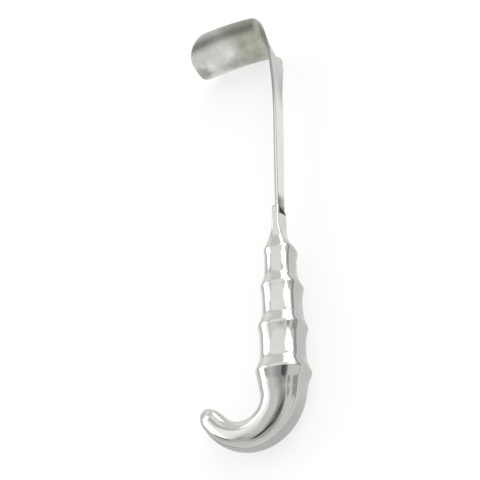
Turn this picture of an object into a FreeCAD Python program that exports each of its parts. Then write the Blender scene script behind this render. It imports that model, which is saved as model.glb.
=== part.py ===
import FreeCAD, Part
import math
import os

# Hand-held surgical retractor, stainless steel, in millimetres.
#
# Shape frame: +X runs along the shank from the blade to the hook of the handle,
# -Y is the side that the blade and the hook both point to, +Z is across the
# width of the blade. The instrument lies on its side: the last section turns it
# by two small angles into the pose in which it rests and puts the origin at the
# middle of the bottom of its box.

doc = FreeCAD.newDocument("retractor")

# ---------------------------------------------------------------- dimensions
table = doc.addObject("Spreadsheet::Sheet", "Sizes")
SIZES = [
    # blade: a trough with its rims turned away from the handle
    ("blade_half_width", 17.27),
    ("blade_length", 39.24),
    ("blade_turn", 18.7),
    ("blade_hollow", 0.0300),
    ("blade_corner", 14.87),
    ("blade_gauge", 1.31),
    # bend between shank and blade
    ("bend_radius", 11.67),
    ("bend_angle", 84.5),
    ("flare_start", 2.33),
    ("flare_end", 16.23),
    # shank: a tapering strip
    ("shank_length", 98.63),
    ("shank_foot_half", 4.60),
    ("shank_low_half", 5.80),
    ("shank_high_half", 6.60),
    ("shank_top_half", 10.68),
    ("shank_foot_gauge", 2.15),
    ("shank_bow", 0.6),
    # tang inside the neck of the handle
    ("tang_length", 16.0),
    ("tang_width", 8.8),
    ("tang_gauge", 2.0),
    # grip: four shoulders, distances from the start of the neck
    ("shoulder_one", 25.6),
    ("shoulder_two", 45.1),
    ("shoulder_three", 65.5),
    ("shoulder_four", 86.7),
    ("corner_power", 2.91),
    ("neck_power", 6.5),
    ("wall", 1.5),
    ("cavity_start", 19.5),
    # mouth of the neck: its back wall starts later than its sides, along a slanted weld
    ("mouth_near", 5.9),
    ("mouth_far", 2.3),
    ("mouth_half", 4.9),
    # hook
    ("hook_start", 95.2),
    ("hook_radius", 18.93),
    ("hook_angle", 135.5),
    ("hook_tip", 11.56),
    ("tip_round", 7.46),
    # resting pose
    ("rest_pitch", 1.748),
    ("rest_roll", 0.0),
]
for row, (alias, value) in enumerate(SIZES, start=1):
    table.set("A%d" % row, alias)
    table.set("B%d" % row, repr(value))
    table.setAlias("B%d" % row, alias)
doc.recompute()


def size(alias):
    return float(table.get(alias))


def vec(x, y, z):
    return FreeCAD.Vector(x, y, z)


def monotone(xs, ys):
    """Cubic through the points with no overshoot between them."""
    n = len(xs)
    step = [xs[i + 1] - xs[i] for i in range(n - 1)]
    slope = [(ys[i + 1] - ys[i]) / step[i] for i in range(n - 1)]
    tangent = [slope[0]] + [0.0] * (n - 2) + [slope[-1]]
    for i in range(1, n - 1):
        if slope[i - 1] * slope[i] > 0:
            first = 2 * step[i] + step[i - 1]
            second = step[i] + 2 * step[i - 1]
            tangent[i] = (first + second) / (first / slope[i - 1] + second / slope[i])

    def at(x):
        x = min(max(x, xs[0]), xs[-1])
        i = 0
        while i < n - 2 and x > xs[i + 1]:
            i += 1
        r = (x - xs[i]) / step[i]
        return (
            ys[i] * (1 + 2 * r) * (1 - r) ** 2
            + tangent[i] * step[i] * r * (1 - r) ** 2
            + ys[i + 1] * r * r * (3 - 2 * r)
            + tangent[i + 1] * step[i] * r * r * (r - 1)
        )

    return at


def smooth(x):
    x = min(max(x, 0.0), 1.0)
    return x * x * (3 - 2 * x)


def through(points, marks, closed=False):
    spline = Part.BSplineCurve()
    spline.interpolate(Points=points, PeriodicFlag=closed, Parameters=marks)
    return spline


def skin(rows, along, across, closed=False):
    """Smooth face through rows of points. Faces with the same marks along share their edges."""
    sections = [through(row, across, closed) for row in rows]
    poles = [section.getPoles() for section in sections]
    columns = [through([row[j] for row in poles], along) for j in range(len(poles[0]))]
    grid = [[column.getPole(i + 1) for column in columns] for i in range(columns[0].NbPoles)]
    surface = Part.BSplineSurface()
    surface.buildFromPolesMultsKnots(
        grid,
        columns[0].getMultiplicities(),
        sections[0].getMultiplicities(),
        columns[0].getKnots(),
        sections[0].getKnots(),
        False,
        closed,
        columns[0].Degree,
        sections[0].Degree,
    )
    return surface


def panels(surface, along, across):
    """The surface cut into panels at the given marks."""
    cut = []
    for first, last in zip(along[:-1], along[1:]):
        for left, right in zip(across[:-1], across[1:]):
            panel = surface.copy()
            panel.segment(first, last, left, right)
            cut.append(panel)
    return cut


def solid_of(surfaces, start, stop):
    """Closed solid from panels that meet, with a flat cap on each open end."""
    faces = [surface.toShape() for surface in surfaces]
    for end, mark in ((0, start), (1, stop)):
        rims = []
        for surface in surfaces:
            u = surface.bounds()[end]
            if abs(u - mark) < 1e-6:
                rims.append(surface.uIso(u).toShape())
        faces.append(Part.Face(Part.Wire(Part.sortEdges(rims)[0])))
    shell = Part.Compound(faces)
    shell.sewShape(0.001)
    solid = Part.makeSolid(shell.Shells[0])
    if solid.Volume < 0:
        solid.reverse()
    return solid


def every(marks, count):
    """Every count-th mark, with the first and the last."""
    kept = marks[::count]
    return kept if kept[-1] == marks[-1] else kept[:-1] + [marks[-1]]


# ------------------------------------------------------- blade and shank strip
bend = math.radians(size("bend_angle"))
bend_length = size("bend_radius") * bend
blade_end = bend_length + size("blade_length")
shank = size("shank_length")


def heading(u):
    """Angle of the strip's centre line: 0 along the shank, about 90 at the blade."""
    if u <= 0:
        return 0.0
    if u <= bend_length:
        return u / size("bend_radius")
    return bend + math.radians(size("blade_turn")) * (u - bend_length) / size("blade_length")


def centre_line(stations):
    """Reach (towards the blade's tip) and height (along the shank) at each station."""
    reach, height, u = 0.0, 0.0, stations[0]
    line = []
    for target in stations:
        steps = max(1, int((target - u) / 0.1))
        du = (target - u) / steps
        for _ in range(steps):
            angle = heading(u + du / 2)
            reach += math.sin(angle) * du
            height -= math.cos(angle) * du
            u += du
        line.append((reach, height))
    return line


half_width_of_shank = monotone(
    [-shank, -56.0, -23.3, 0.0, 28.0],
    [
        size("shank_foot_half"),
        size("shank_low_half"),
        size("shank_high_half"),
        size("shank_top_half"),
        size("shank_top_half") + 3.1,
    ],
)


def strip_shape(u):
    """Half width, hollow (curvature across) and gauge of the strip at u."""
    flare = smooth((u - size("flare_start")) / (size("flare_end") - size("flare_start")))
    plain = half_width_of_shank(u)
    half = plain + (size("blade_half_width") - plain) * flare
    corner = size("blade_corner")
    x = min(max((corner - (blade_end - u)) / corner, 0.0), 1.0)
    half -= 0.72 * size("blade_half_width") * (1 - math.sqrt(max(0.0, 1 - x ** 2.2)))
    gauge = size("shank_foot_gauge") + (size("blade_gauge") - size("shank_foot_gauge")) * min(
        1.0, (u + shank) / shank
    )
    return half, size("blade_hollow") * flare, gauge


def bow(u):
    """The shank bows a little away from the blade's side."""
    if u >= 0:
        return 0.0
    return size("shank_bow") * math.sin(math.pi * min(1.0, -u / shank) ** 0.75) ** 2


NECK_START = 1.3  # the neck starts a little way down the foot of the shank
STATIONS = [-shank - NECK_START, -shank, -93, -86, -77, -68, -60, -52, -45, -38, -32, -26, -20, -15, -10, -6, -3, 0]
STATIONS += [bend_length * i / 10.0 for i in range(1, 11)]
STATIONS += [bend_length + size("blade_length") * f for f in (0.06, 0.12, 0.19, 0.27, 0.35, 0.43, 0.51, 0.59)]
STATIONS += [blade_end - d for d in (14.9, 13.5, 12.0, 10.5, 9.0, 7.5, 6.1, 4.8, 3.6, 2.6, 1.8, 1.15, 0.65, 0.3, 0.1, 0.0)]
line = centre_line(STATIONS)
top = min(height for _, height in line)


def strip_section(u, reach, height):
    """Closed section of the strip: outer face, rounded rim, inner face, rounded rim."""
    half, hollow, gauge = strip_shape(u)
    half -= 0.45 * gauge  # the rounded rims make up the full width
    angle = heading(u)
    across = (-math.cos(angle), -math.sin(angle))  # outward: back of shank, top of blade
    shift = bow(u)

    def place(w, lift):
        return vec(
            height - top + across[1] * lift,
            -(reach - shift + across[0] * lift),
            w,
        )

    outer, inner, rims = [], [], []
    count = 8
    for i in range(count + 1):
        w = half * (-1 + 2.0 * i / count)
        lean = 2 * hollow * w
        length = math.sqrt(1 + lean * lean)
        for side, chain in ((1, outer), (-1, inner)):
            chain.append(
                place(w - side * lean / length * gauge / 2, hollow * w * w + side * gauge / 2 / length)
            )
    for sign in (1, -1):
        w = sign * half
        lean = 2 * hollow * w
        length = math.sqrt(1 + lean * lean)
        arc = []
        for step in range(5):
            turn = math.pi * step / 4.0
            along, normal = sign * math.sin(turn) * gauge / 2 * 0.9, math.cos(turn) * gauge / 2
            arc.append(
                place(
                    w + (along - lean * normal) / length,
                    hollow * w * w + (along * lean + normal) / length,
                )
            )
        rims.append(arc)
    return outer, rims[0], inner[::-1], rims[1][::-1]


strip = doc.addObject("Part::Feature", "Strip")
strip.Label = "strip"
sections = [strip_section(u, reach, height) for u, (reach, height) in zip(STATIONS, line)]
faces = []
for i in range(4):
    marks = [float(k) for k in range(len(sections[0][i]))]
    side = skin([section[i] for section in sections], STATIONS, marks)
    faces += panels(side, every(STATIONS, 6), [marks[0], marks[-1]])
strip.Shape = solid_of(faces, STATIONS[0], STATIONS[-1])
foot_x = line[1][1] - top  # the foot of the shank, from where the grip is measured

tang = doc.addObject("Part::Box", "Tang")
tang.Label = "tang"
tang.setExpression("Length", "Sizes.tang_length")
tang.setExpression("Width", "Sizes.tang_gauge")
tang.setExpression("Height", "Sizes.tang_width")
tang.Placement.Base = vec(foot_x, 0, 0)
tang.setExpression("Placement.Base.y", "-Sizes.tang_gauge / 2")
tang.setExpression("Placement.Base.z", "-Sizes.tang_width / 2")

blade = doc.addObject("Part::Fuse", "BladeAndShank")
blade.Label = "blade_and_shank"
blade.Base = strip
blade.Tool = tang

# ------------------------------------------------------------- hollow handle
s1, s2, s3, s4 = (size("shoulder_" + name) for name in ("one", "two", "three", "four"))
hook_turn = math.radians(size("hook_angle"))
hook_start = size("hook_start")
hook_end = hook_start + size("hook_radius") * hook_turn
grip_end = hook_end + size("hook_tip")
hook_middle = hook_start + size("hook_radius") * hook_turn / 2 + 1.0

# Half thickness (blade side to back) and half width (side to side) along the grip:
# a long waist that flares in its last few millimetres to a crisp shoulder.
neck, body = size("neck_power"), size("corner_power")
GRIP = [
    # distance, half thickness, half width, shift towards the blade's side, corner power
    (1.3, 1.72, 5.60, 0.36, neck),
    (1.9, 1.92, 5.86, 0.36, neck),
    (5.0, 1.95, 5.92, 0.42, neck),
    (10.5, 2.10, 5.90, 0.56, 6.0),
    (15.0, 2.85, 5.58, 0.64, 5.0),
    (18.6, 4.02, 5.72, 0.74, 4.2),
    (22.2, 5.93, 6.62, 0.48, 3.5),
    (s1 - 1.0, 7.30, 7.56, 0.22, 3.06),
    (s1, 7.64, 8.00, 0.16, body),
    (s1 + 1.2, 7.46, 7.84, 0.20, body),
    (s1 + 4.6, 7.12, 7.55, 0.45, body),
    (s1 + 9.4, 7.14, 7.56, 0.45, body),
    (s2 - 5.6, 7.66, 7.86, 0.20, body),
    (s2 - 1.3, 9.22, 9.22, 0.00, body),
    (s2, 9.66, 9.56, -0.05, body),
    (s2 + 1.3, 9.40, 9.32, 0.00, body),
    (s2 + 5.4, 8.90, 8.84, 0.12, body),
    (s2 + 10.0, 8.86, 8.66, 0.05, body),
    (s3 - 6.3, 9.12, 8.72, -0.08, body),
    (s3 - 1.4, 10.58, 10.05, 0.02, body),
    (s3, 11.02, 10.42, 0.05, body),
    (s3 + 1.4, 10.66, 10.14, 0.12, body),
    (s3 + 5.6, 9.96, 9.48, 0.28, body),
    (s3 + 10.0, 9.86, 9.22, 0.34, body),
    (s4 - 6.6, 10.00, 9.22, 0.34, body),
    (s4 - 1.5, 11.62, 10.66, 0.26, body),
    (s4, 12.12, 11.06, 0.24, body),
    (s4 + 1.5, 11.66, 10.72, 0.36, body),
    (s4 + 5.6, 10.52, 9.80, 0.70, body),
    (hook_middle, 7.16, 7.07, 0.76, body),
    (grip_end, 4.47, 4.21, 0.76, body),
]
half_thick = monotone([g[0] for g in GRIP], [g[1] for g in GRIP])
half_wide = monotone([g[0] for g in GRIP], [g[2] for g in GRIP])
shift_at = monotone([g[0] for g in GRIP], [g[3] for g in GRIP])
power_at = monotone([g[0] for g in GRIP], [g[4] for g in GRIP])


def grip_frame(distance):
    """Point and direction of the grip's centre line: straight, then the hook's arc, then straight."""
    turn = min(max((distance - hook_start) / size("hook_radius"), 0.0), hook_turn)
    along = min(distance, hook_start) + size("hook_radius") * math.sin(turn)
    aside = size("hook_radius") * (1 - math.cos(turn))
    rest = max(0.0, distance - hook_end)
    along += rest * math.cos(turn)
    aside += rest * math.sin(turn)
    return along, aside, turn


def grip_section(distance, inset=0.0):
    """Closed section: a rounded rectangle with full sides."""
    along, aside, turn = grip_frame(distance)
    rounding = size("tip_round")
    x = min(max((rounding - (grip_end - distance)) / rounding, 0.0), 1.0)
    fade = math.sqrt(max(0.0, 1 - x * x))
    thick = half_thick(distance) * fade - inset
    wide = half_wide(distance) * fade - inset
    shift = shift_at(distance)
    power = power_at(distance)
    points = []
    count = 32
    for i in range(count):
        angle = 2 * math.pi * (i + 0.5) / count
        c, s = math.cos(angle), math.sin(angle)
        out = (abs(c) ** power + abs(s) ** power) ** (-1 / power)
        across = shift + thick * out * c
        z = wide * out * s
        points.append(
            vec(
                foot_x + along - math.sin(turn) * across,
                -(aside + math.cos(turn) * across),
                z,
            )
        )
    return points


def between(start, stop, count):
    return [start + (stop - start) * i / count for i in range(1, count)]


outside = [NECK_START, NECK_START + 0.3, NECK_START + 0.6, 3.3, 5.0, 7.8, 10.5, 13.0, 15.0, 17.0, 18.6, 20.4, 22.2, 23.6]
for shoulder, following in ((s1, s2), (s2, s3), (s3, s4)):
    outside += [shoulder - 1.0, shoulder - 0.4, shoulder, shoulder + 0.5, shoulder + 1.3]
    outside += [shoulder + 2.8] + between(shoulder + 2.8, following - 6.0, 5)
    outside += [following - 6.0, following - 4.4, following - 2.6]
outside += [s4 - 1.2, s4 - 0.5, s4, s4 + 0.6, s4 + 1.5, s4 + 3.4, s4 + 5.6, hook_start - 1.0]
outside += between(hook_start - 1.0, grip_end - size("tip_round") - 0.5, 18)
outside += [grip_end - d for d in (7.9, 6.9, 5.9, 4.9, 3.9, 3.0, 2.2, 1.5, 0.95, 0.55, 0.28, 0.12, 0.03)]

ROUND = [float(k) for k in range(33)]


def grip_solid(distances, inset=0.0):
    side = skin([grip_section(distance, inset) for distance in distances], distances, ROUND, True)
    return solid_of(panels(side, every(distances, 6), ROUND[::8]), distances[0], distances[-1])


shell = doc.addObject("Part::Feature", "GripOutside")
shell.Label = "grip_outside"
shell.Shape = grip_solid(outside)

inside = [size("cavity_start")] + [d for d in outside if size("cavity_start") + 1 < d < grip_end - 6.5]
cavity = doc.addObject("Part::Feature", "GripCavity")
cavity.Label = "grip_cavity"
cavity.Shape = grip_solid(inside, size("wall"))

hollow = doc.addObject("Part::Cut", "HollowGrip")
hollow.Label = "hollow_grip"
hollow.Base = shell
hollow.Tool = cavity

socket = doc.addObject("Part::Box", "Socket")
socket.Label = "socket"
socket.setExpression("Length", "Sizes.tang_length")
socket.setExpression("Width", "Sizes.tang_gauge")
socket.setExpression("Height", "Sizes.tang_width")
socket.Placement.Base = vec(foot_x, 0, 0)
socket.setExpression("Placement.Base.y", "-Sizes.tang_gauge / 2")
socket.setExpression("Placement.Base.z", "-Sizes.tang_width / 2")

filled = doc.addObject("Part::Cut", "SocketedGrip")
filled.Label = "socketed_grip"
filled.Base = hollow
filled.Tool = socket

# the slanted mouth: what lies above the tang, between the sides, before the weld
slot = doc.addObject("Part::Box", "MouthSlot")
slot.Label = "mouth_slot"
slot.setExpression("Length", "Sizes.mouth_near + 3")
slot.Width = 4.0
slot.setExpression("Height", "2 * Sizes.mouth_half")
slot.Placement.Base = vec(foot_x - 1.0, 0, 0)
slot.setExpression("Placement.Base.y", "Sizes.tang_gauge / 2")
slot.setExpression("Placement.Base.z", "-Sizes.mouth_half")

slant = math.atan2(size("mouth_near") - size("mouth_far"), 2 * size("mouth_half"))
front = doc.addObject("Part::Box", "MouthFront")
front.Label = "mouth_front"
front.Length = 20.0
front.Width = 8.0
front.Height = 40.0
front.Placement = FreeCAD.Placement(
    vec(foot_x + (size("mouth_near") + size("mouth_far")) / 2, -1.0, 0),
    FreeCAD.Rotation(vec(0, 1, 0), math.degrees(slant)),
).multiply(FreeCAD.Placement(vec(-20.0, 0, -20.0), FreeCAD.Rotation()))

mouth = doc.addObject("Part::Common", "Mouth")
mouth.Label = "mouth"
mouth.Base = slot
mouth.Tool = front

handle = doc.addObject("Part::Cut", "GripHandle")
handle.Label = "grip_handle"
handle.Base = filled
handle.Tool = mouth

doc.recompute()

# -------------------------------------------------------------- resting pose
pieces = [blade, handle]
turn = FreeCAD.Rotation(vec(0, 1, 0), size("rest_pitch")).multiply(
    FreeCAD.Rotation(vec(1, 0, 0), size("rest_roll"))
)
points = [turn.multVec(point) for piece in pieces for point in piece.Shape.tessellate(0.02)[0]]
middle = vec(
    -(min(q.x for q in points) + max(q.x for q in points)) / 2,
    -(min(q.y for q in points) + max(q.y for q in points)) / 2,
    -min(q.z for q in points),
)
for piece in pieces:
    piece.Placement = FreeCAD.Placement(middle, turn)
doc.recompute()

# -------------------------------------------------------------------- checks
for item in doc.Objects:
    if "Invalid" in item.State or "Error" in item.State:
        raise RuntimeError("%s failed: %s" % (item.Label, item.State))
for piece in pieces:
    shape = piece.Shape
    if shape.isNull() or not shape.isValid():
        raise RuntimeError("%s has no valid shape" % piece.Label)
    if len(shape.Solids) != 1:
        raise RuntimeError("%s is %d solids" % (piece.Label, len(shape.Solids)))

os.makedirs("parts", exist_ok=True)
for piece in pieces:
    piece.Shape.exportStep("parts/" + piece.Label + ".step")
    box = piece.Shape.BoundBox
    print(
        "%s: %.1f x %.1f x %.1f mm, volume %.0f mm3, faces %d"
        % (piece.Label, box.XLength, box.YLength, box.ZLength, piece.Shape.Volume, len(piece.Shape.Faces))
    )
print("placement", middle, turn.toEuler(), "foot_x", foot_x)
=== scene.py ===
import math

import bpy
import numpy as np
from mathutils import Matrix, Vector
from mathutils.kdtree import KDTree


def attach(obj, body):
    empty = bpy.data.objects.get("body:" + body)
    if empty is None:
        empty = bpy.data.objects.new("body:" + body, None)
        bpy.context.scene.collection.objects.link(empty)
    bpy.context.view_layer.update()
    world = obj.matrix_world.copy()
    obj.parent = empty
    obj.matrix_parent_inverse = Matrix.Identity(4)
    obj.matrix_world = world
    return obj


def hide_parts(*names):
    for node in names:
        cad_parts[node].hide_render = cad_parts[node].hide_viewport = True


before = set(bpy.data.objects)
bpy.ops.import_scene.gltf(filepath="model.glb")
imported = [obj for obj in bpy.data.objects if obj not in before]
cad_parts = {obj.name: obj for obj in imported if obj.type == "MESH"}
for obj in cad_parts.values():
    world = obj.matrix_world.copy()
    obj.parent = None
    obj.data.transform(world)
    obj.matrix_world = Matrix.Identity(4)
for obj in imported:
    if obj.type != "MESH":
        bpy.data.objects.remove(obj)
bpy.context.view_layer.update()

# ------------------------------------------------------------------ dimensions
# The same numbers as the construction has, in millimetres. The shape frame has
# +X along the shank towards the hook, -Y the side of blade and hook, +Z up.
BLADE_HALF, BLADE_LENGTH, BLADE_TURN, BLADE_HOLLOW = 17.27, 39.24, math.radians(18.7), 0.0300
BLADE_CORNER, BLADE_GAUGE = 14.87, 1.31
BEND_RADIUS, BEND = 11.67, math.radians(84.5)
FLARE_START, FLARE_END = 2.33, 16.23
SHANK, FOOT_HALF, LOW_HALF, HIGH_HALF, TOP_HALF = 98.63, 4.60, 5.80, 6.60, 10.68
FOOT_GAUGE, SHANK_BOW = 2.15, 0.6
S1, S2, S3, S4 = 25.6, 45.1, 65.5, 86.7
BODY_POWER, NECK_POWER = 2.91, 6.5
NECK_START, MOUTH_NEAR, MOUTH_FAR, MOUTH_HALF = 1.3, 5.9, 2.3, 4.9
HOOK_START, HOOK_RADIUS, HOOK_TURN, HOOK_TIP, TIP_ROUND = 95.2, 18.93, math.radians(135.5), 11.56, 7.46
REST_PITCH = math.radians(1.748)
REST_MOVE = np.array([-110.61049, 18.963590, 17.083759])
FOOT_X = 110.796

BEND_LENGTH = BEND_RADIUS * BEND
BLADE_END = BEND_LENGTH + BLADE_LENGTH
HOOK_END = HOOK_START + HOOK_RADIUS * HOOK_TURN
GRIP_END = HOOK_END + HOOK_TIP
HOOK_MIDDLE = HOOK_START + HOOK_RADIUS * HOOK_TURN / 2 + 1.0


def to_row(points):
    """Shape frame in millimetres to the row frame in metres."""
    p = np.asarray(points, float)
    c, s = math.cos(REST_PITCH), math.sin(REST_PITCH)
    x = p[..., 0] * c + p[..., 2] * s
    z = -p[..., 0] * s + p[..., 2] * c
    return (np.stack([x, p[..., 1], z], -1) + REST_MOVE) / 1000.0


def row_direction(d):
    c, s = math.cos(REST_PITCH), math.sin(REST_PITCH)
    return Vector((d[0] * c + d[2] * s, d[1], -d[0] * s + d[2] * c)).normalized()


def monotone(xs, ys):
    xs, ys = np.array(xs, float), np.array(ys, float)
    step = np.diff(xs)
    slope = np.diff(ys) / step
    tangent = np.zeros(len(xs))
    tangent[0], tangent[-1] = slope[0], slope[-1]
    for i in range(1, len(xs) - 1):
        if slope[i - 1] * slope[i] > 0:
            first = 2 * step[i] + step[i - 1]
            second = step[i] + 2 * step[i - 1]
            tangent[i] = (first + second) / (first / slope[i - 1] + second / slope[i])

    def at(x):
        x = np.clip(np.asarray(x, float), xs[0], xs[-1])
        i = np.clip(np.searchsorted(xs, x, side="left") - 1, 0, len(xs) - 2)
        r = (x - xs[i]) / step[i]
        return (
            ys[i] * (1 + 2 * r) * (1 - r) ** 2
            + tangent[i] * step[i] * r * (1 - r) ** 2
            + ys[i + 1] * r * r * (3 - 2 * r)
            + tangent[i + 1] * step[i] * r * r * (r - 1)
        )

    return at


def smooth(x):
    x = np.clip(x, 0.0, 1.0)
    return x * x * (3 - 2 * x)


def rounded(curve, low, high, radius):
    """The curve with its kinks rounded over a length of about the radius."""
    grid = np.linspace(low, high, int((high - low) / 0.05) + 1)
    step = grid[1] - grid[0]
    reach = int(3 * radius / step)
    weight = np.exp(-0.5 * (np.arange(-reach, reach + 1) * step / radius) ** 2)
    weight /= weight.sum()
    plain = curve(grid)
    ends = np.concatenate([2 * plain[0] - plain[reach:0:-1], plain, 2 * plain[-1] - plain[-2:-reach - 2:-1]])
    soft = np.convolve(ends, weight, "valid")
    return lambda x: np.interp(x, grid, soft)


def mesh_from(name, points, faces, smooth_shading=True):
    mesh = bpy.data.meshes.new(name)
    mesh.from_pydata([tuple(p) for p in points], [], faces)
    mesh.update()
    mesh.polygons.foreach_set("use_smooth", [smooth_shading] * len(mesh.polygons))
    piece = bpy.data.objects.new(name, mesh)
    bpy.context.scene.collection.objects.link(piece)
    return piece


def give(piece, name, values):
    """A number for each point of the mesh, which the materials read."""
    attribute = piece.data.attributes.new(name, "FLOAT", "POINT")
    attribute.data.foreach_set("value", np.asarray(values, np.float32).ravel())


# ------------------------------------------------------------- blade and shank
half_of_shank = rounded(
    monotone([-SHANK, -56.0, -23.3, 0.0, 28.0], [FOOT_HALF, LOW_HALF, HIGH_HALF, TOP_HALF, TOP_HALF + 3.1]),
    -SHANK, 28.0, 2.0,
)


def heading(u):
    u = np.asarray(u, float)
    return np.where(
        u <= 0, 0.0,
        np.where(u <= BEND_LENGTH, u / BEND_RADIUS, BEND + BLADE_TURN * (u - BEND_LENGTH) / BLADE_LENGTH),
    )


def strip_centre(stations):
    fine = np.linspace(-SHANK - 8.0, BLADE_END, 26001)
    middle = heading((fine[1:] + fine[:-1]) / 2)
    du = np.diff(fine)
    reach = np.concatenate([[0.0], np.cumsum(np.sin(middle) * du)])
    height = -np.concatenate([[0.0], np.cumsum(np.cos(middle) * du)])
    return np.interp(stations, fine, reach), np.interp(stations, fine, height), height.min()


def blade_and_shank():
    end_round = 0.62
    u = np.concatenate([
        np.linspace(-SHANK - 7.4, -SHANK, 16)[:-1],  # inside the neck
        np.linspace(-SHANK, 0, 190)[:-1],
        np.linspace(0, BEND_LENGTH, 70)[:-1],
        np.linspace(BEND_LENGTH, BLADE_END - 15, 70)[:-1],
        np.linspace(BLADE_END - 15, BLADE_END - end_round, 70)[:-1],
        BLADE_END - end_round * (1 - np.sin(np.linspace(0, math.pi / 2 * 0.985, 9))),
    ])
    reach, height, top = strip_centre(u)
    flare = smooth((u - FLARE_START) / (FLARE_END - FLARE_START))
    plain = half_of_shank(u)
    half = plain + (BLADE_HALF - plain) * flare
    x = np.clip((BLADE_CORNER - (BLADE_END - u)) / BLADE_CORNER, 0, 1)
    half = half - 0.72 * BLADE_HALF * (1 - np.sqrt(np.maximum(0, 1 - x ** 2.2)))
    gauge = FOOT_GAUGE + (BLADE_GAUGE - FOOT_GAUGE) * np.clip((u + SHANK) / SHANK, 0.0, 1.0)
    half = half - 0.45 * gauge
    # the front edge is rounded off as the sides are
    close = np.clip((u - (BLADE_END - end_round)) / end_round, 0, 1)
    gauge = gauge * np.sqrt(np.maximum(0.0, 1 - close ** 2))
    hollow = BLADE_HOLLOW * flare
    bow = np.where(u >= 0, 0.0, SHANK_BOW * np.sin(math.pi * np.minimum(1.0, np.maximum(0, -u / SHANK)) ** 0.75) ** 2)
    angle = heading(u)
    face, rim = 44, 10
    columns = []
    for side in (1, 0, -1, 2):  # outer face, rim, inner face, rim
        if side in (1, -1):
            for t in np.linspace(-1, 1, face + 1)[:-1]:
                columns.append(("face", side, t if side == 1 else -t))
        else:
            sign = 1 if side == 0 else -1
            for turn in np.linspace(0, math.pi, rim + 1)[:-1]:
                columns.append(("rim", sign, turn if sign == 1 else math.pi - turn))
    count = len(columns)
    points = np.zeros((len(u), count, 3))
    across_w = np.zeros((len(u), count))
    edge = np.zeros((len(u), count))
    back = np.zeros((len(u), count))
    for j, (kind, sign, value) in enumerate(columns):
        if kind == "face":
            # points crowd a little towards the rims
            w = half * math.sin(value * math.pi / 2 * 0.96) / math.sin(math.pi / 2 * 0.96)
            along, normal = 0.0, sign * gauge / 2
            back[:, j] = sign
        else:
            w = sign * half
            along, normal = sign * math.sin(value) * gauge / 2 * 0.9, math.cos(value) * gauge / 2
            edge[:, j] = math.sin(value)
            back[:, j] = math.cos(value)
        lean = 2 * hollow * w
        length = np.sqrt(1 + lean * lean)
        ww = w + (along - lean * normal) / length
        lift = hollow * w * w + (along * lean + normal) / length
        points[:, j, 0] = height - top - np.sin(angle) * lift
        points[:, j, 1] = -(reach - bow - np.cos(angle) * lift)
        points[:, j, 2] = ww
        across_w[:, j] = ww
    n = len(u)
    faces = []
    for i in range(n - 1):
        for j in range(count):
            k = (j + 1) % count
            faces.append((i * count + j, (i + 1) * count + j, (i + 1) * count + k, i * count + k))
    flat = points.reshape(-1, 3)
    # the narrow end is closed with quads between the two faces
    last = (n - 1) * count
    inner_of = lambda j: (2 * face + rim - j)
    for j in range(face):
        faces.append((last + j, last + inner_of(j), last + inner_of(j + 1), last + j + 1))
    right = [last + face + i for i in range(rim + 1)]
    left = [last + 2 * face + rim + i for i in range(rim)] + [last]
    faces.append(tuple(right[::-1]))
    faces.append(tuple(left[::-1]))
    # the foot is closed too, out of sight in the neck
    faces.append(tuple(range(count)))
    piece = mesh_from("blade_and_shank_finished", to_row(flat), faces)
    give(piece, "along_mm", np.repeat(u, count))
    give(piece, "across_mm", across_w)
    give(piece, "rim", edge)
    give(piece, "back", back)
    # millimetres from the slanted weld of the neck, and from the wedge of painted black shade before it
    slope = (MOUTH_NEAR - MOUTH_FAR) / (2 * MOUTH_HALF)
    to_weld = FOOT_X + (MOUTH_NEAR + MOUTH_FAR) / 2 + slope * points[:, :, 2] - points[:, :, 0]
    give(piece, "to_weld_mm", to_weld)
    give(piece, "wedge_mm", to_weld - 2.9 * (MOUTH_HALF - points[:, :, 2]) / (2 * MOUTH_HALF))
    return piece


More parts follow.
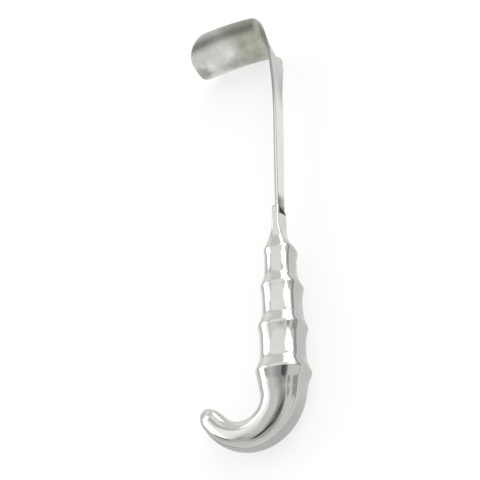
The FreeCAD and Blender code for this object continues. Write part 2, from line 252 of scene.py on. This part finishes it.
# ----------------------------------------------------------------- grip handle
GRIP = np.array([
    (NECK_START, 1.72, 5.60, 0.36, NECK_POWER),
    (NECK_START + 0.6, 1.92, 5.86, 0.36, NECK_POWER),
    (5.0, 1.95, 5.92, 0.42, NECK_POWER),
    (10.5, 2.10, 5.90, 0.56, 6.0),
    (15.0, 2.85, 5.58, 0.64, 5.0),
    (18.6, 4.02, 5.72, 0.74, 4.2),
    (22.2, 5.93, 6.62, 0.48, 3.5),
    (S1 - 1.0, 7.30, 7.56, 0.22, 3.06),
    (S1, 7.64, 8.00, 0.16, BODY_POWER),
    (S1 + 1.2, 7.46, 7.84, 0.20, BODY_POWER),
    (S1 + 4.6, 7.12, 7.55, 0.45, BODY_POWER),
    (S1 + 9.4, 7.14, 7.56, 0.45, BODY_POWER),
    (S2 - 5.6, 7.66, 7.86, 0.20, BODY_POWER),
    (S2 - 1.3, 9.22, 9.22, 0.00, BODY_POWER),
    (S2, 9.66, 9.56, -0.05, BODY_POWER),
    (S2 + 1.3, 9.40, 9.32, 0.00, BODY_POWER),
    (S2 + 5.4, 8.90, 8.84, 0.12, BODY_POWER),
    (S2 + 10.0, 8.86, 8.66, 0.05, BODY_POWER),
    (S3 - 6.3, 9.12, 8.72, -0.08, BODY_POWER),
    (S3 - 1.4, 10.58, 10.05, 0.02, BODY_POWER),
    (S3, 11.02, 10.42, 0.05, BODY_POWER),
    (S3 + 1.4, 10.66, 10.14, 0.12, BODY_POWER),
    (S3 + 5.6, 9.96, 9.48, 0.28, BODY_POWER),
    (S3 + 10.0, 9.86, 9.22, 0.34, BODY_POWER),
    (S4 - 6.6, 10.00, 9.22, 0.34, BODY_POWER),
    (S4 - 1.5, 11.62, 10.66, 0.26, BODY_POWER),
    (S4, 12.12, 11.06, 0.24, BODY_POWER),
    (S4 + 1.5, 11.66, 10.72, 0.36, BODY_POWER),
    (S4 + 5.6, 10.52, 9.80, 0.70, BODY_POWER),
    (HOOK_MIDDLE, 7.16, 7.07, 0.76, BODY_POWER),
    (GRIP_END, 4.47, 4.21, 0.76, BODY_POWER),
])
half_thick = rounded(monotone(GRIP[:, 0], GRIP[:, 1]), NECK_START, GRIP_END, 0.55)
half_wide = rounded(monotone(GRIP[:, 0], GRIP[:, 2]), NECK_START, GRIP_END, 0.55)
shift_at = rounded(monotone(GRIP[:, 0], GRIP[:, 3]), NECK_START, GRIP_END, 1.2)
power_at = rounded(monotone(GRIP[:, 0], GRIP[:, 4]), NECK_START, GRIP_END, 1.2)


def around(power, count):
    """Points round a rounded square of that corner power, closer together at its corners."""
    fine = np.linspace(0, 2 * math.pi, 2881)
    c, s = np.cos(fine), np.sin(fine)
    out = (np.abs(c) ** power + np.abs(s) ** power) ** (-1 / power)
    cx, cz = out * c, out * s
    step = np.hypot(np.diff(cx), np.diff(cz))
    head = np.unwrap(np.arctan2(np.diff(cz), np.diff(cx)))
    bend = np.abs(np.diff(np.append(head, head[0] + 2 * math.pi)))
    run = np.concatenate([[0], np.cumsum(step / step.sum() + bend / bend.sum())])
    share = np.arange(count) / count * run[-1]
    return np.interp(share, run, cx), np.interp(share, run, cz)


def cut_mouth(piece):
    """Opens the slanted mouth of the neck; its walls are marked for the material, which paints them black as shade.
    """
    foot = FOOT_X
    outline = [(foot - 1.0, -MOUTH_HALF), (foot - 1.0, MOUTH_HALF),
               (foot + MOUTH_NEAR, MOUTH_HALF), (foot + MOUTH_FAR, -MOUTH_HALF)]
    corners = to_row([(x, y, z) for y in (0.6, 4.6) for x, z in outline])
    cutter = mesh_from("mouth_cutter", corners, [
        (0, 1, 2, 3), (7, 6, 5, 4), (0, 4, 5, 1), (1, 5, 6, 2), (2, 6, 7, 3), (3, 7, 4, 0)], False)
    cut = piece.modifiers.new("mouth", "BOOLEAN")
    cut.operation, cut.solver, cut.object = "DIFFERENCE", "EXACT", cutter
    shape = np.array([v.co for v in piece.data.vertices])
    values = {}
    for name in ("along_mm", "side"):
        values[name] = np.zeros(len(shape), np.float32)
        piece.data.attributes[name].data.foreach_get("value", values[name])
    made = bpy.data.meshes.new_from_object(piece.evaluated_get(bpy.context.evaluated_depsgraph_get()))
    piece.modifiers.clear()
    old, piece.data = piece.data, made
    bpy.data.meshes.remove(old)
    made.name = piece.name
    bpy.data.objects.remove(cutter)
    tree = KDTree(len(shape))
    for i, co in enumerate(shape):
        tree.insert(co, i)
    tree.balance()
    nearest = [tree.find(v.co)[1] for v in made.vertices]
    for name in values:
        if name in made.attributes:
            made.attributes.remove(made.attributes[name])
        give(piece, name, values[name][nearest])
    slope = (MOUTH_NEAR - MOUTH_FAR) / (2 * MOUTH_HALF)
    c, s = math.cos(REST_PITCH), math.sin(REST_PITCH)
    inside = np.zeros(len(made.polygons), np.float32)
    for face in made.polygons:
        q = np.array(face.center) * 1000 - REST_MOVE
        x, y, z = q[0] * c - q[2] * s - foot, q[1], q[0] * s + q[2] * c
        rim = (MOUTH_NEAR + MOUTH_FAR) / 2 + slope * z
        if x < rim + 0.01 and abs(z) < MOUTH_HALF + 0.01 and y > 0.59:
            inside[face.index] = 1.0
            face.use_smooth = False
    mark = made.attributes.new("mouth", "FLOAT", "FACE")
    mark.data.foreach_set("value", inside)
    made.set_sharp_from_angle(angle=math.radians(32))


def grip_handle():
    d = np.concatenate([
        np.linspace(NECK_START, NECK_START + 1.2, 9)[:-1],
        np.linspace(NECK_START + 1.2, 18.0, 46)[:-1],
        np.linspace(18.0, S4 + 8.0, 290)[:-1],
        np.linspace(S4 + 8.0, GRIP_END - TIP_ROUND, 130)[:-1],
        GRIP_END - TIP_ROUND * (1 - np.sin(np.linspace(0, math.pi / 2 * 0.995, 40))),
    ])
    count = 128
    turn = np.clip((d - HOOK_START) / HOOK_RADIUS, 0, HOOK_TURN)
    along = np.minimum(d, HOOK_START) + HOOK_RADIUS * np.sin(turn)
    aside = HOOK_RADIUS * (1 - np.cos(turn))
    rest = np.maximum(0.0, d - HOOK_END)
    along += rest * np.cos(turn)
    aside += rest * np.sin(turn)
    x = np.clip((TIP_ROUND - (GRIP_END - d)) / TIP_ROUND, 0, 1)
    fade = np.sqrt(np.maximum(0, 1 - x * x))
    thick, wide = half_thick(d) * fade, half_wide(d) * fade
    shift = shift_at(d)
    rings = [around(power, count) for power in power_at(d)]
    ox, oz = np.array([r[0] for r in rings]), np.array([r[1] for r in rings])
    points = np.zeros((len(d), count, 3))
    across = shift[:, None] + thick[:, None] * ox
    points[:, :, 0] = FOOT_X + along[:, None] - np.sin(turn)[:, None] * across
    points[:, :, 1] = -(aside[:, None] + np.cos(turn)[:, None] * across)
    points[:, :, 2] = wide[:, None] * oz
    n = len(d)
    faces = []
    for i in range(n - 1):
        for j in range(count):
            k = (j + 1) % count
            faces.append((i * count + j, (i + 1) * count + j, (i + 1) * count + k, i * count + k))
    flat = points.reshape(-1, 3)
    faces.append(tuple(range(count)))
    faces.append(tuple((n - 1) * count + j for j in reversed(range(count))))
    piece = mesh_from("grip_handle_finished", to_row(flat), faces)
    give(piece, "along_mm", np.repeat(d, count))
    give(piece, "side", ox)
    cut_mouth(piece)
    return piece


# ------------------------------------------------------------------- materials
class Nodes:
    """Short names for building a node tree."""

    def __init__(self, tree):
        self.tree = tree
        tree.nodes.clear()

    def add(self, kind, **settings):
        node = self.tree.nodes.new(kind)
        for name, value in settings.items():
            setattr(node, name, value)
        return node

    def put(self, socket, value):
        if isinstance(value, bpy.types.NodeSocket):
            self.tree.links.new(value, socket)
        else:
            socket.default_value = value

    def math(self, operation, a, b=None, c=None, clamp=False):
        node = self.add("ShaderNodeMath", operation=operation, use_clamp=clamp)
        for i, value in enumerate((a, b, c)):
            if value is not None:
                self.put(node.inputs[i], value)
        return node.outputs[0]

    def ramp(self, value, low, high, to_low=0.0, to_high=1.0, kind="SMOOTHSTEP"):
        node = self.add("ShaderNodeMapRange", interpolation_type=kind, clamp=True) if kind == "LINEAR" else self.add(
            "ShaderNodeMapRange", interpolation_type=kind)
        self.put(node.inputs["Value"], value)
        for name, number in zip(("From Min", "From Max", "To Min", "To Max"), (low, high, to_low, to_high)):
            self.put(node.inputs[name], number)
        return node.outputs[0]

    def mix(self, factor, a, b, kind="RGBA", blend="MIX"):
        node = self.add("ShaderNodeMix", data_type=kind)
        if kind == "RGBA":
            node.blend_type = blend
            first, second, out = node.inputs[6], node.inputs[7], node.outputs[2]
        else:
            first, second, out = node.inputs[2], node.inputs[3], node.outputs[0]
        self.put(node.inputs[0], factor)
        for socket, value in ((first, a), (second, b)):
            if isinstance(value, tuple) and len(value) == 3:
                value = (*value, 1.0)
            self.put(socket, value)
        return out

    def attribute(self, name):
        return self.add("ShaderNodeAttribute", attribute_name=name).outputs["Fac"]

    def noise(self, scale, detail=3.0, rough=0.5, stretch=(1, 1, 1), offset=(0, 0, 0)):
        coordinates = self.add("ShaderNodeTexCoord").outputs["Object"]
        mapping = self.add("ShaderNodeMapping")
        self.put(mapping.inputs["Vector"], coordinates)
        mapping.inputs["Scale"].default_value = stretch
        mapping.inputs["Location"].default_value = offset
        node = self.add("ShaderNodeTexNoise")
        self.put(node.inputs["Vector"], mapping.outputs[0])
        node.inputs["Scale"].default_value = scale
        node.inputs["Detail"].default_value = detail
        node.inputs["Roughness"].default_value = rough
        return node.outputs[0]

    def bump(self, height, strength, distance, normal=None):
        node = self.add("ShaderNodeBump")
        self.put(node.inputs["Height"], height)
        node.inputs["Strength"].default_value = strength
        node.inputs["Distance"].default_value = distance
        if normal is not None:
            self.put(node.inputs["Normal"], normal)
        return node.outputs[0]


def new_material(name):
    material = bpy.data.materials.new(name)
    material.use_nodes = True
    nodes = Nodes(material.node_tree)
    shader = nodes.add("ShaderNodeBsdfPrincipled")
    output = nodes.add("ShaderNodeOutputMaterial")
    material.node_tree.links.new(shader.outputs[0], output.inputs["Surface"])
    shader.inputs["Metallic"].default_value = 1.0
    return material, nodes, shader


def satin_steel():
    material, m, shader = new_material("satin_steel")
    along = m.attribute("along_mm")
    across = m.attribute("across_mm")
    rim = m.attribute("rim")
    back = m.attribute("back")
    blade = m.ramp(along, -4.0, 12.0)
    broad = m.noise(55.0, 2.0, 0.5)
    mottle = m.noise(240.0, 4.0, 0.6)
    tone_and_shade_noise = m.noise(130.0, 4.0, 0.6, offset=(3.1, 0.7, 1.9))
    grain = m.noise(5200.0, 2.0, 0.6)
    brush = m.noise(900.0, 3.0, 0.6, stretch=(0.05, 1.0, 1.0))
    # blade: blasted, with painted shade towards the bend: an olive-grey painted reflection of the shank and the
    # shadowed table
    light = m.mix(m.ramp(tone_and_shade_noise, 0.35, 0.65), (0.60, 0.61, 0.58), (0.70, 0.71, 0.68))
    bend_shade = m.ramp(m.math("ADD", along, m.math("MULTIPLY", m.math("SUBTRACT", broad, 0.5), 30.0)), 40.0, 24.0)
    bend_shade = m.math("MULTIPLY", bend_shade, m.ramp(mottle, 0.3, 0.7, 0.75, 1.0))
    blade_colour = m.mix(bend_shade, light, (0.40, 0.41, 0.34))
    # painted shade: dark patches towards the far rim, near the bend and along the front edge
    for middle_u, middle_w, long_, wide_, depth in (
        (37.0, -7.5, 7.0, 7.5, 0.42),
        (27.0, -12.0, 9.0, 8.0, 0.34),
        (24.5, 7.0, 4.5, 5.0, 0.26),
        (53.8, -3.6, 5.6, 12.0, 0.62),
        (31.0, -3.0, 7.0, 5.5, 0.32),
        (19.5, -4.0, 6.0, 12.0, 0.24),
    ):
        du = m.math("DIVIDE", m.math("SUBTRACT", along, middle_u), long_)
        dw = m.math("DIVIDE", m.math("SUBTRACT", across, middle_w), wide_)
        away = m.math("SQRT", m.math("ADD", m.math("MULTIPLY", du, du), m.math("MULTIPLY", dw, dw)))
        away = m.math("ADD", away, m.math("MULTIPLY", m.math("SUBTRACT", tone_and_shade_noise, 0.5), 1.3))
        blade_colour = m.mix(
            m.ramp(away, 1.25, 0.2, 0.0, depth), blade_colour, (0.16, 0.165, 0.14))
    shank_colour = m.mix(m.ramp(mottle, 0.3, 0.7), (0.71, 0.715, 0.70), (0.74, 0.745, 0.73))
    # painted shade: darker towards the bend, and on the back darkened to black where it runs into the neck
    shank_colour = m.mix(m.ramp(along, -42.0, -12.0), shank_colour, (0.50, 0.50, 0.50))
    # painted shade: a dark patch on the far side of the shank near the bend
    du = m.math("DIVIDE", m.math("ADD", along, 19.0), 14.0)
    dw = m.math("DIVIDE", m.math("ADD", across, 8.5), 10.0)
    away = m.math("SQRT", m.math("ADD", m.math("MULTIPLY", du, du), m.math("MULTIPLY", dw, dw)))
    shank_colour = m.mix(m.ramp(away, 1.25, 0.2, 0.0, 0.56), shank_colour, (0.22, 0.22, 0.21))
    # painted shade: the back darkens towards the slanted weld and turns black in a wedge before it
    behind = m.ramp(back, 0.3, 0.8)
    weld = m.attribute("to_weld_mm")
    first = m.math("MULTIPLY", m.ramp(weld, 13.0, 8.0), m.ramp(across, -6.0, 4.5, 0.35, 0.97))
    neck_back_shade = m.math("MAXIMUM", first, m.ramp(weld, 7.5, 4.0, 0.0, 0.93))
    shank_colour = m.mix(m.math("MULTIPLY", neck_back_shade, behind), shank_colour, (0.10, 0.105, 0.095))
    black_wedge_shade = m.math("MULTIPLY", m.ramp(m.attribute("wedge_mm"), 0.5, -0.4), behind)
    shank_colour = m.mix(black_wedge_shade, shank_colour, (0.008, 0.008, 0.007))
    colour = m.mix(blade, shank_colour, blade_colour)
    # painted shade: the rims are darker than the faces, darker still towards the bend
    edge = m.mix(m.ramp(along, -48.0, -14.0), (0.40, 0.40, 0.395), (0.17, 0.17, 0.165))
    shader_colour = m.mix(m.ramp(rim, 0.15, 0.75, 0.0, 0.92), colour, edge)
    m.put(shader.inputs["Base Color"], shader_colour)
    rough = m.mix(blade, 0.26, 0.27, kind="FLOAT")
    rough = m.math("ADD", rough, m.ramp(mottle, 0.3, 0.7, -0.02, 0.03))
    m.put(shader.inputs["Roughness"], rough)
    height = m.mix(blade, m.math("MULTIPLY", brush, 0.35), grain, kind="FLOAT")
    m.put(shader.inputs["Normal"], m.bump(height, 0.045, 0.0001))
    return material


def polished_steel():
    material, m, shader = new_material("polished_steel")
    broad = m.noise(60.0, 2.0, 0.5)
    haze = m.noise(420.0, 4.0, 0.6)
    lines = m.noise(1500.0, 3.0, 0.6, stretch=(0.06, 1.0, 1.0))
    colour = m.mix(m.ramp(broad, 0.35, 0.65), (0.565, 0.57, 0.555), (0.60, 0.60, 0.59))
    # painted shade: the walls of the mouth are painted nearly black
    mouth = m.attribute("mouth")
    colour = m.mix(mouth, colour, (0.02, 0.02, 0.018))
    m.put(shader.inputs["Base Color"], colour)
    rough = m.math("ADD", m.ramp(haze, 0.35, 0.7, 0.05, 0.10), m.ramp(lines, 0.5, 0.8, 0.0, 0.05))
    rough = m.mix(mouth, rough, 0.6, kind="FLOAT")
    m.put(shader.inputs["Roughness"], rough)
    m.put(shader.inputs["Normal"], m.bump(lines, 0.05, 0.00005))
    return material


def floor_material():
    """A pale table that glows softly, so that shadows on it stay faint."""
    material, m, shader = new_material("pale_floor")
    shader.inputs["Metallic"].default_value = 0.0
    shader.inputs["Base Color"].default_value = (0.22, 0.22, 0.22, 1.0)
    shader.inputs["Roughness"].default_value = 0.9
    shader.inputs["Specular IOR Level"].default_value = 0.0
    shader.inputs["Emission Color"].default_value = (1.0, 1.0, 0.99, 1.0)
    shader.inputs["Emission Strength"].default_value = 0.74
    return material


# ---------------------------------------------------------------------- pieces
blade_piece = blade_and_shank()
blade_piece.data.materials.append(satin_steel())
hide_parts("blade_and_shank")
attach(blade_piece, "root")

grip_piece = grip_handle()
grip_piece.data.materials.append(polished_steel())
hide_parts("grip_handle")
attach(grip_piece, "root")

# ---------------------------------------------------------------------- camera
ELEVATION, AZIMUTH, ROLL = math.radians(30.0229), math.radians(24.0674), math.radians(0.1264)
FOCAL = 771.73 / 480.0
REFERENCE = np.array([136.17, 0.0, 0.0])
VIEWED_AT = np.array([19.90, 5.90, 374.2])
ce, se, ca, sa = math.cos(ELEVATION), math.sin(ELEVATION), math.cos(AZIMUTH), math.sin(AZIMUTH)
turned = np.array([[math.cos(ROLL), -math.sin(ROLL), 0], [math.sin(ROLL), math.cos(ROLL), 0], [0, 0, 1]])
# columns: the camera's right, down and forward parts of the shape frame's axes
axes = turned @ np.array([
    [0.0, ca, -sa],
    [ce, -sa * se, -ca * se],
    [-se, -sa * ce, -ca * ce],
])
place = REFERENCE - axes.T @ VIEWED_AT
camera_data = bpy.data.cameras.new("camera")
camera_data.sensor_fit = "HORIZONTAL"
camera_data.sensor_width = 36.0
camera_data.lens = FOCAL * 36.0
camera_data.clip_start = 0.01
camera_data.clip_end = 20.0
camera = bpy.data.objects.new("camera", camera_data)
bpy.context.scene.collection.objects.link(camera)
right, down, ahead = (row_direction(axes[i]) for i in range(3))
camera.matrix_world = Matrix.Translation(Vector(to_row(place))) @ Matrix(
    ((right.x, -down.x, -ahead.x), (right.y, -down.y, -ahead.y), (right.z, -down.z, -ahead.z))
).to_4x4()
bpy.context.scene.camera = camera

# ---------------------------------------------------------------------- studio
def disc(name, radius, count=96):
    ring = [(radius * math.cos(2 * math.pi * i / count), radius * math.sin(2 * math.pi * i / count), 0.0)
            for i in range(count)]
    return mesh_from(name, ring, [tuple(range(count))], False)


floor = disc("floor", 1.6)
floor.data.materials.append(floor_material())

def unseen_card(name, middle, facing, wide, tall, shade, colour, one_side):
    """A card that only the polish sees: shade(nodes, x, y) gives its cover from 0 to 1."""
    normal = Vector(facing).normalized()
    side = Vector((0, 0, 1)).cross(normal)
    side = side.normalized() if side.length > 0.1 else Vector((1, 0, 0))
    above = normal.cross(side)
    corners = [(-wide, -tall), (wide, -tall), (wide, tall), (-wide, tall)]
    card = mesh_from(name, [(x, y, 0.0) for x, y in corners], [(0, 1, 2, 3)], False)
    card.matrix_world = Matrix.Translation(middle) @ Matrix(
        ((side.x, above.x, normal.x), (side.y, above.y, normal.y), (side.z, above.z, normal.z))
    ).to_4x4()
    material = bpy.data.materials.new(name)
    material.use_nodes = True
    m = Nodes(material.node_tree)
    spread = m.add("ShaderNodeSeparateXYZ")
    m.put(spread.inputs[0], m.add("ShaderNodeTexCoord").outputs["Object"])
    cover = shade(m, spread.outputs[0], spread.outputs[1])
    if one_side:
        behind = m.add("ShaderNodeNewGeometry").outputs["Backfacing"]
        cover = m.math("MULTIPLY", cover, m.math("SUBTRACT", 1.0, behind))
    clear = m.add("ShaderNodeBsdfTransparent")
    glow = m.add("ShaderNodeEmission")
    glow.inputs["Color"].default_value = (*colour, 1.0)
    blend = m.add("ShaderNodeMixShader")
    m.put(blend.inputs[0], cover)
    material.node_tree.links.new(clear.outputs[0], blend.inputs[1])
    material.node_tree.links.new(glow.outputs[0], blend.inputs[2])
    material.node_tree.links.new(blend.outputs[0], m.add("ShaderNodeOutputMaterial").inputs["Surface"])
    card.data.materials.append(material)
    card.visible_camera = card.visible_diffuse = card.visible_shadow = card.visible_transmission = False
    return card


def strip_of_shade(m, x, y, middle, along, half_length, half_width, soft):
    """Cover of a soft straight strip on a card."""
    dx_, dy_ = m.math("SUBTRACT", x, middle[0]), m.math("SUBTRACT", y, middle[1])
    length = math.hypot(*along)
    ax, ay = along[0] / length, along[1] / length
    run = m.math("ABSOLUTE", m.math("ADD", m.math("MULTIPLY", dx_, ax), m.math("MULTIPLY", dy_, ay)))
    off = m.math("ABSOLUTE", m.math("SUBTRACT", m.math("MULTIPLY", dx_, ay), m.math("MULTIPLY", dy_, ax)))
    return m.math(
        "MULTIPLY",
        m.ramp(run, half_length + soft, half_length - soft),
        m.ramp(off, half_width + soft, half_width - soft),
    )


def round_shade(m, x, y, middle, half_x, half_y, soft, depth):
    """Cover of a soft ellipse on a card; soft is a share of its size."""
    u_ = m.math("DIVIDE", m.math("SUBTRACT", x, middle[0]), half_x)
    v_ = m.math("DIVIDE", m.math("SUBTRACT", y, middle[1]), half_y)
    away = m.math("SQRT", m.math("ADD", m.math("MULTIPLY", u_, u_), m.math("MULTIPLY", v_, v_)))
    return m.ramp(away, 1.0 + soft, 1.0 - soft, 0.0, depth)


def camera_shade(m, x, y):
    """The camera, its arm, and the dim room round them."""
    body = strip_of_shade(m, x, y, (0.049, -0.019), (0.76, -0.65), 0.062, 0.034, 0.020)
    arm = round_shade(m, x, y, (0.010, 0.034), 0.066, 0.048, 0.45, 0.86)
    room = round_shade(m, x, y, (0.115, 0.020), 0.150, 0.112, 0.65, 0.40)
    cover = m.math("MAXIMUM", m.math("MAXIMUM", body, arm), room)
    cover = m.math("MAXIMUM", cover, round_shade(m, x, y, (-0.022, 0.000), 0.050, 0.044, 0.50, 0.64))
    cover = m.math("MAXIMUM", cover, round_shade(m, x, y, (-0.018, 0.022), 0.019, 0.028, 0.30, 0.96))
    # the upper and the outer end of the panel on the blade's side are dimmer
    top = strip_of_shade(m, x, y, (-0.074, -0.134), (1.0, 0.0), 0.072, 0.028, 0.010)
    corner = round_shade(m, x, y, (-0.045, 0.124), 0.026, 0.034, 0.40, 0.62)
    end = strip_of_shade(m, x, y, (0.004, -0.230), (0.0, 1.0), 0.070, 0.026, 0.008)
    cover = m.math("MAXIMUM", cover, m.math("MAXIMUM", corner, m.math("MULTIPLY", top, 0.50)))
    return m.math("MAXIMUM", cover, m.math("MULTIPLY", end, 0.77))


# the dark shape of the camera and its holder, above the hook
unseen_card(
    "dark_flag", Vector((0.14, -0.02, 0.226)), (0.0, 0.0, 1.0), 0.38, 0.30,
    camera_shade, (0.075, 0.08, 0.075), False,
)
# painted shade: a dark card round the hook, seen only by the polish, gives it a duller table there
unseen_card(
    "table_shade", Vector((0.13, -0.02, 0.0006)), (0.0, 0.0, 1.0), 0.13, 0.13,
    lambda m, x, y: m.math("MAXIMUM", round_shade(m, x, y, (-0.070, 0.070), 0.070, 0.046, 0.50, 0.15), m.math(
        "MAXIMUM",
        round_shade(m, x, y, (-0.008, 0.024), 0.034, 0.058, 0.50, 0.30),
        round_shade(m, x, y, (0.024, -0.042), 0.044, 0.034, 0.50, 0.62))),
    (0.12, 0.12, 0.12), False,
)
# and both ends of the table in shade
for name, y_place, depth in (("table_end_back", 0.45, 0.60), ("table_end_front", -0.50, 0.50)):
    unseen_card(
        name, Vector((0.0, y_place, 0.0008)), (0.0, 0.0, 1.0), 0.60, 0.36,
        lambda m, x, y: m.math(
            "MULTIPLY", strip_of_shade(m, x, y, (0.0, 0.0), (1.0, 0.0), 0.50, 0.29, 0.05), depth),
        (0.10, 0.10, 0.10), False,
    )
# a dark flag that keeps the near wing of the blade from washing out
unseen_card(
    "blade_flag", Vector((-0.022, -0.040, 0.097)), (-0.93, 0.25, -0.27), 0.09, 0.05,
    lambda m, x, y: strip_of_shade(m, x, y, (0.0, -0.001), (1.0, 0.0), 0.055, 0.013, 0.009),
    (0.02, 0.02, 0.02), True,
)

world = bpy.data.worlds.new("studio")
bpy.context.scene.world = world
world.use_nodes = True
w = Nodes(world.node_tree)
direction = w.add("ShaderNodeTexCoord").outputs["Generated"]
separate = w.add("ShaderNodeSeparateXYZ")
w.put(separate.inputs[0], direction)
dx, dy, dz = separate.outputs


def dot(x, y, z):
    node = w.add("ShaderNodeVectorMath", operation="DOT_PRODUCT")
    w.put(node.inputs[0], direction)
    node.inputs[1].default_value = (x, y, z)
    return node.outputs["Value"]


def panel(azimuth, elevation, wide, tall, soft, rounded_corners=False):
    """1 inside a soft-edged rectangle of light round a direction, 0 outside; all in degrees."""
    a, e = math.radians(azimuth), math.radians(elevation)
    ahead = dot(math.cos(a) * math.cos(e), math.sin(a) * math.cos(e), math.sin(e))
    right = dot(math.sin(a), -math.cos(a), 0.0)
    up = dot(-math.cos(a) * math.sin(e), -math.sin(a) * math.sin(e), math.cos(e))
    front = w.math("MAXIMUM", ahead, 0.001)
    mask = w.ramp(ahead, 0.05, 0.15)
    if rounded_corners:
        total = 0.0
        for part, size_ in ((right, wide), (up, tall)):
            lean = w.math("DIVIDE", w.math("ABSOLUTE", w.math("DIVIDE", part, front)), math.tan(math.radians(size_)))
            total = w.math("ADD", w.math("POWER", lean, 2.3), total)
        edge = soft / (wide + tall)
        return w.math("MULTIPLY", mask, w.ramp(w.math("POWER", total, 1 / 2.3), 1 + edge, 1 - edge))
    for part, size_ in ((right, wide), (up, tall)):
        lean = w.math("ABSOLUTE", w.math("DIVIDE", part, front))
        mask = w.math("MULTIPLY", mask, w.ramp(
            lean, math.tan(math.radians(size_ + soft / 2)), math.tan(math.radians(size_ - soft / 2))))
    return mask


level = w.mix(panel(180.0, 89.0, 24.0, 24.0, 8.0), 0.90, 1.01, kind="FLOAT")
level = w.mix(panel(206.0, 64.0, 15.5, 19.5, 6.0, True), level, 1.17, kind="FLOAT")  # ceiling
for strength, azimuth, elevation, wide, tall, soft in (
    (1.14, 219.0, 14.0, 12.0, 12.0, 10.0),   # dim bounce beyond the blade
    (2.7, 131.0, 52.0, 15.0, 21.5, 6.0),     # large panel on the back side
    (2.7, 168.0, 29.0, 18.0, 16.0, 6.0),     # and its lower wing beyond the blade
    (2.7, 258.0, 38.0, 14.5, 17.5, 6.0),     # large panel on the blade's side
    (2.7, 238.5, 35.0, 6.5, 9.0, 3.0),       # and its lower corner
    (0.48, 88.0, 16.0, 7.0, 24.0, 8.0),      # stands of the panels
    (0.72, 290.0, 40.0, 10.0, 24.0, 8.0),
    (0.55, 146.0, 3.0, 16.0, 9.0, 6.0),      # the gap above the table, beyond the blade
    (0.48, 107.0, 6.0, 22.0, 14.0, 10.0),    # on the back side
    (0.78, 250.0, 5.0, 22.0, 10.0, 8.0),     # and on the blade's side
):
    level = w.mix(panel(azimuth, elevation, wide, tall, soft), level, strength, kind="FLOAT")
# rays of the camera that pass the table see a plain pale backdrop
seen = w.add("ShaderNodeLightPath").outputs["Is Camera Ray"]
level = w.mix(seen, level, 1.0, kind="FLOAT")
background = w.add("ShaderNodeBackground")
background.inputs["Color"].default_value = (1.0, 1.0, 0.985, 1.0)
w.put(background.inputs["Strength"], level)
output = w.add("ShaderNodeOutputWorld")
world.node_tree.links.new(background.outputs[0], output.inputs["Surface"])

bpy.context.scene.view_settings.view_transform = "Standard"
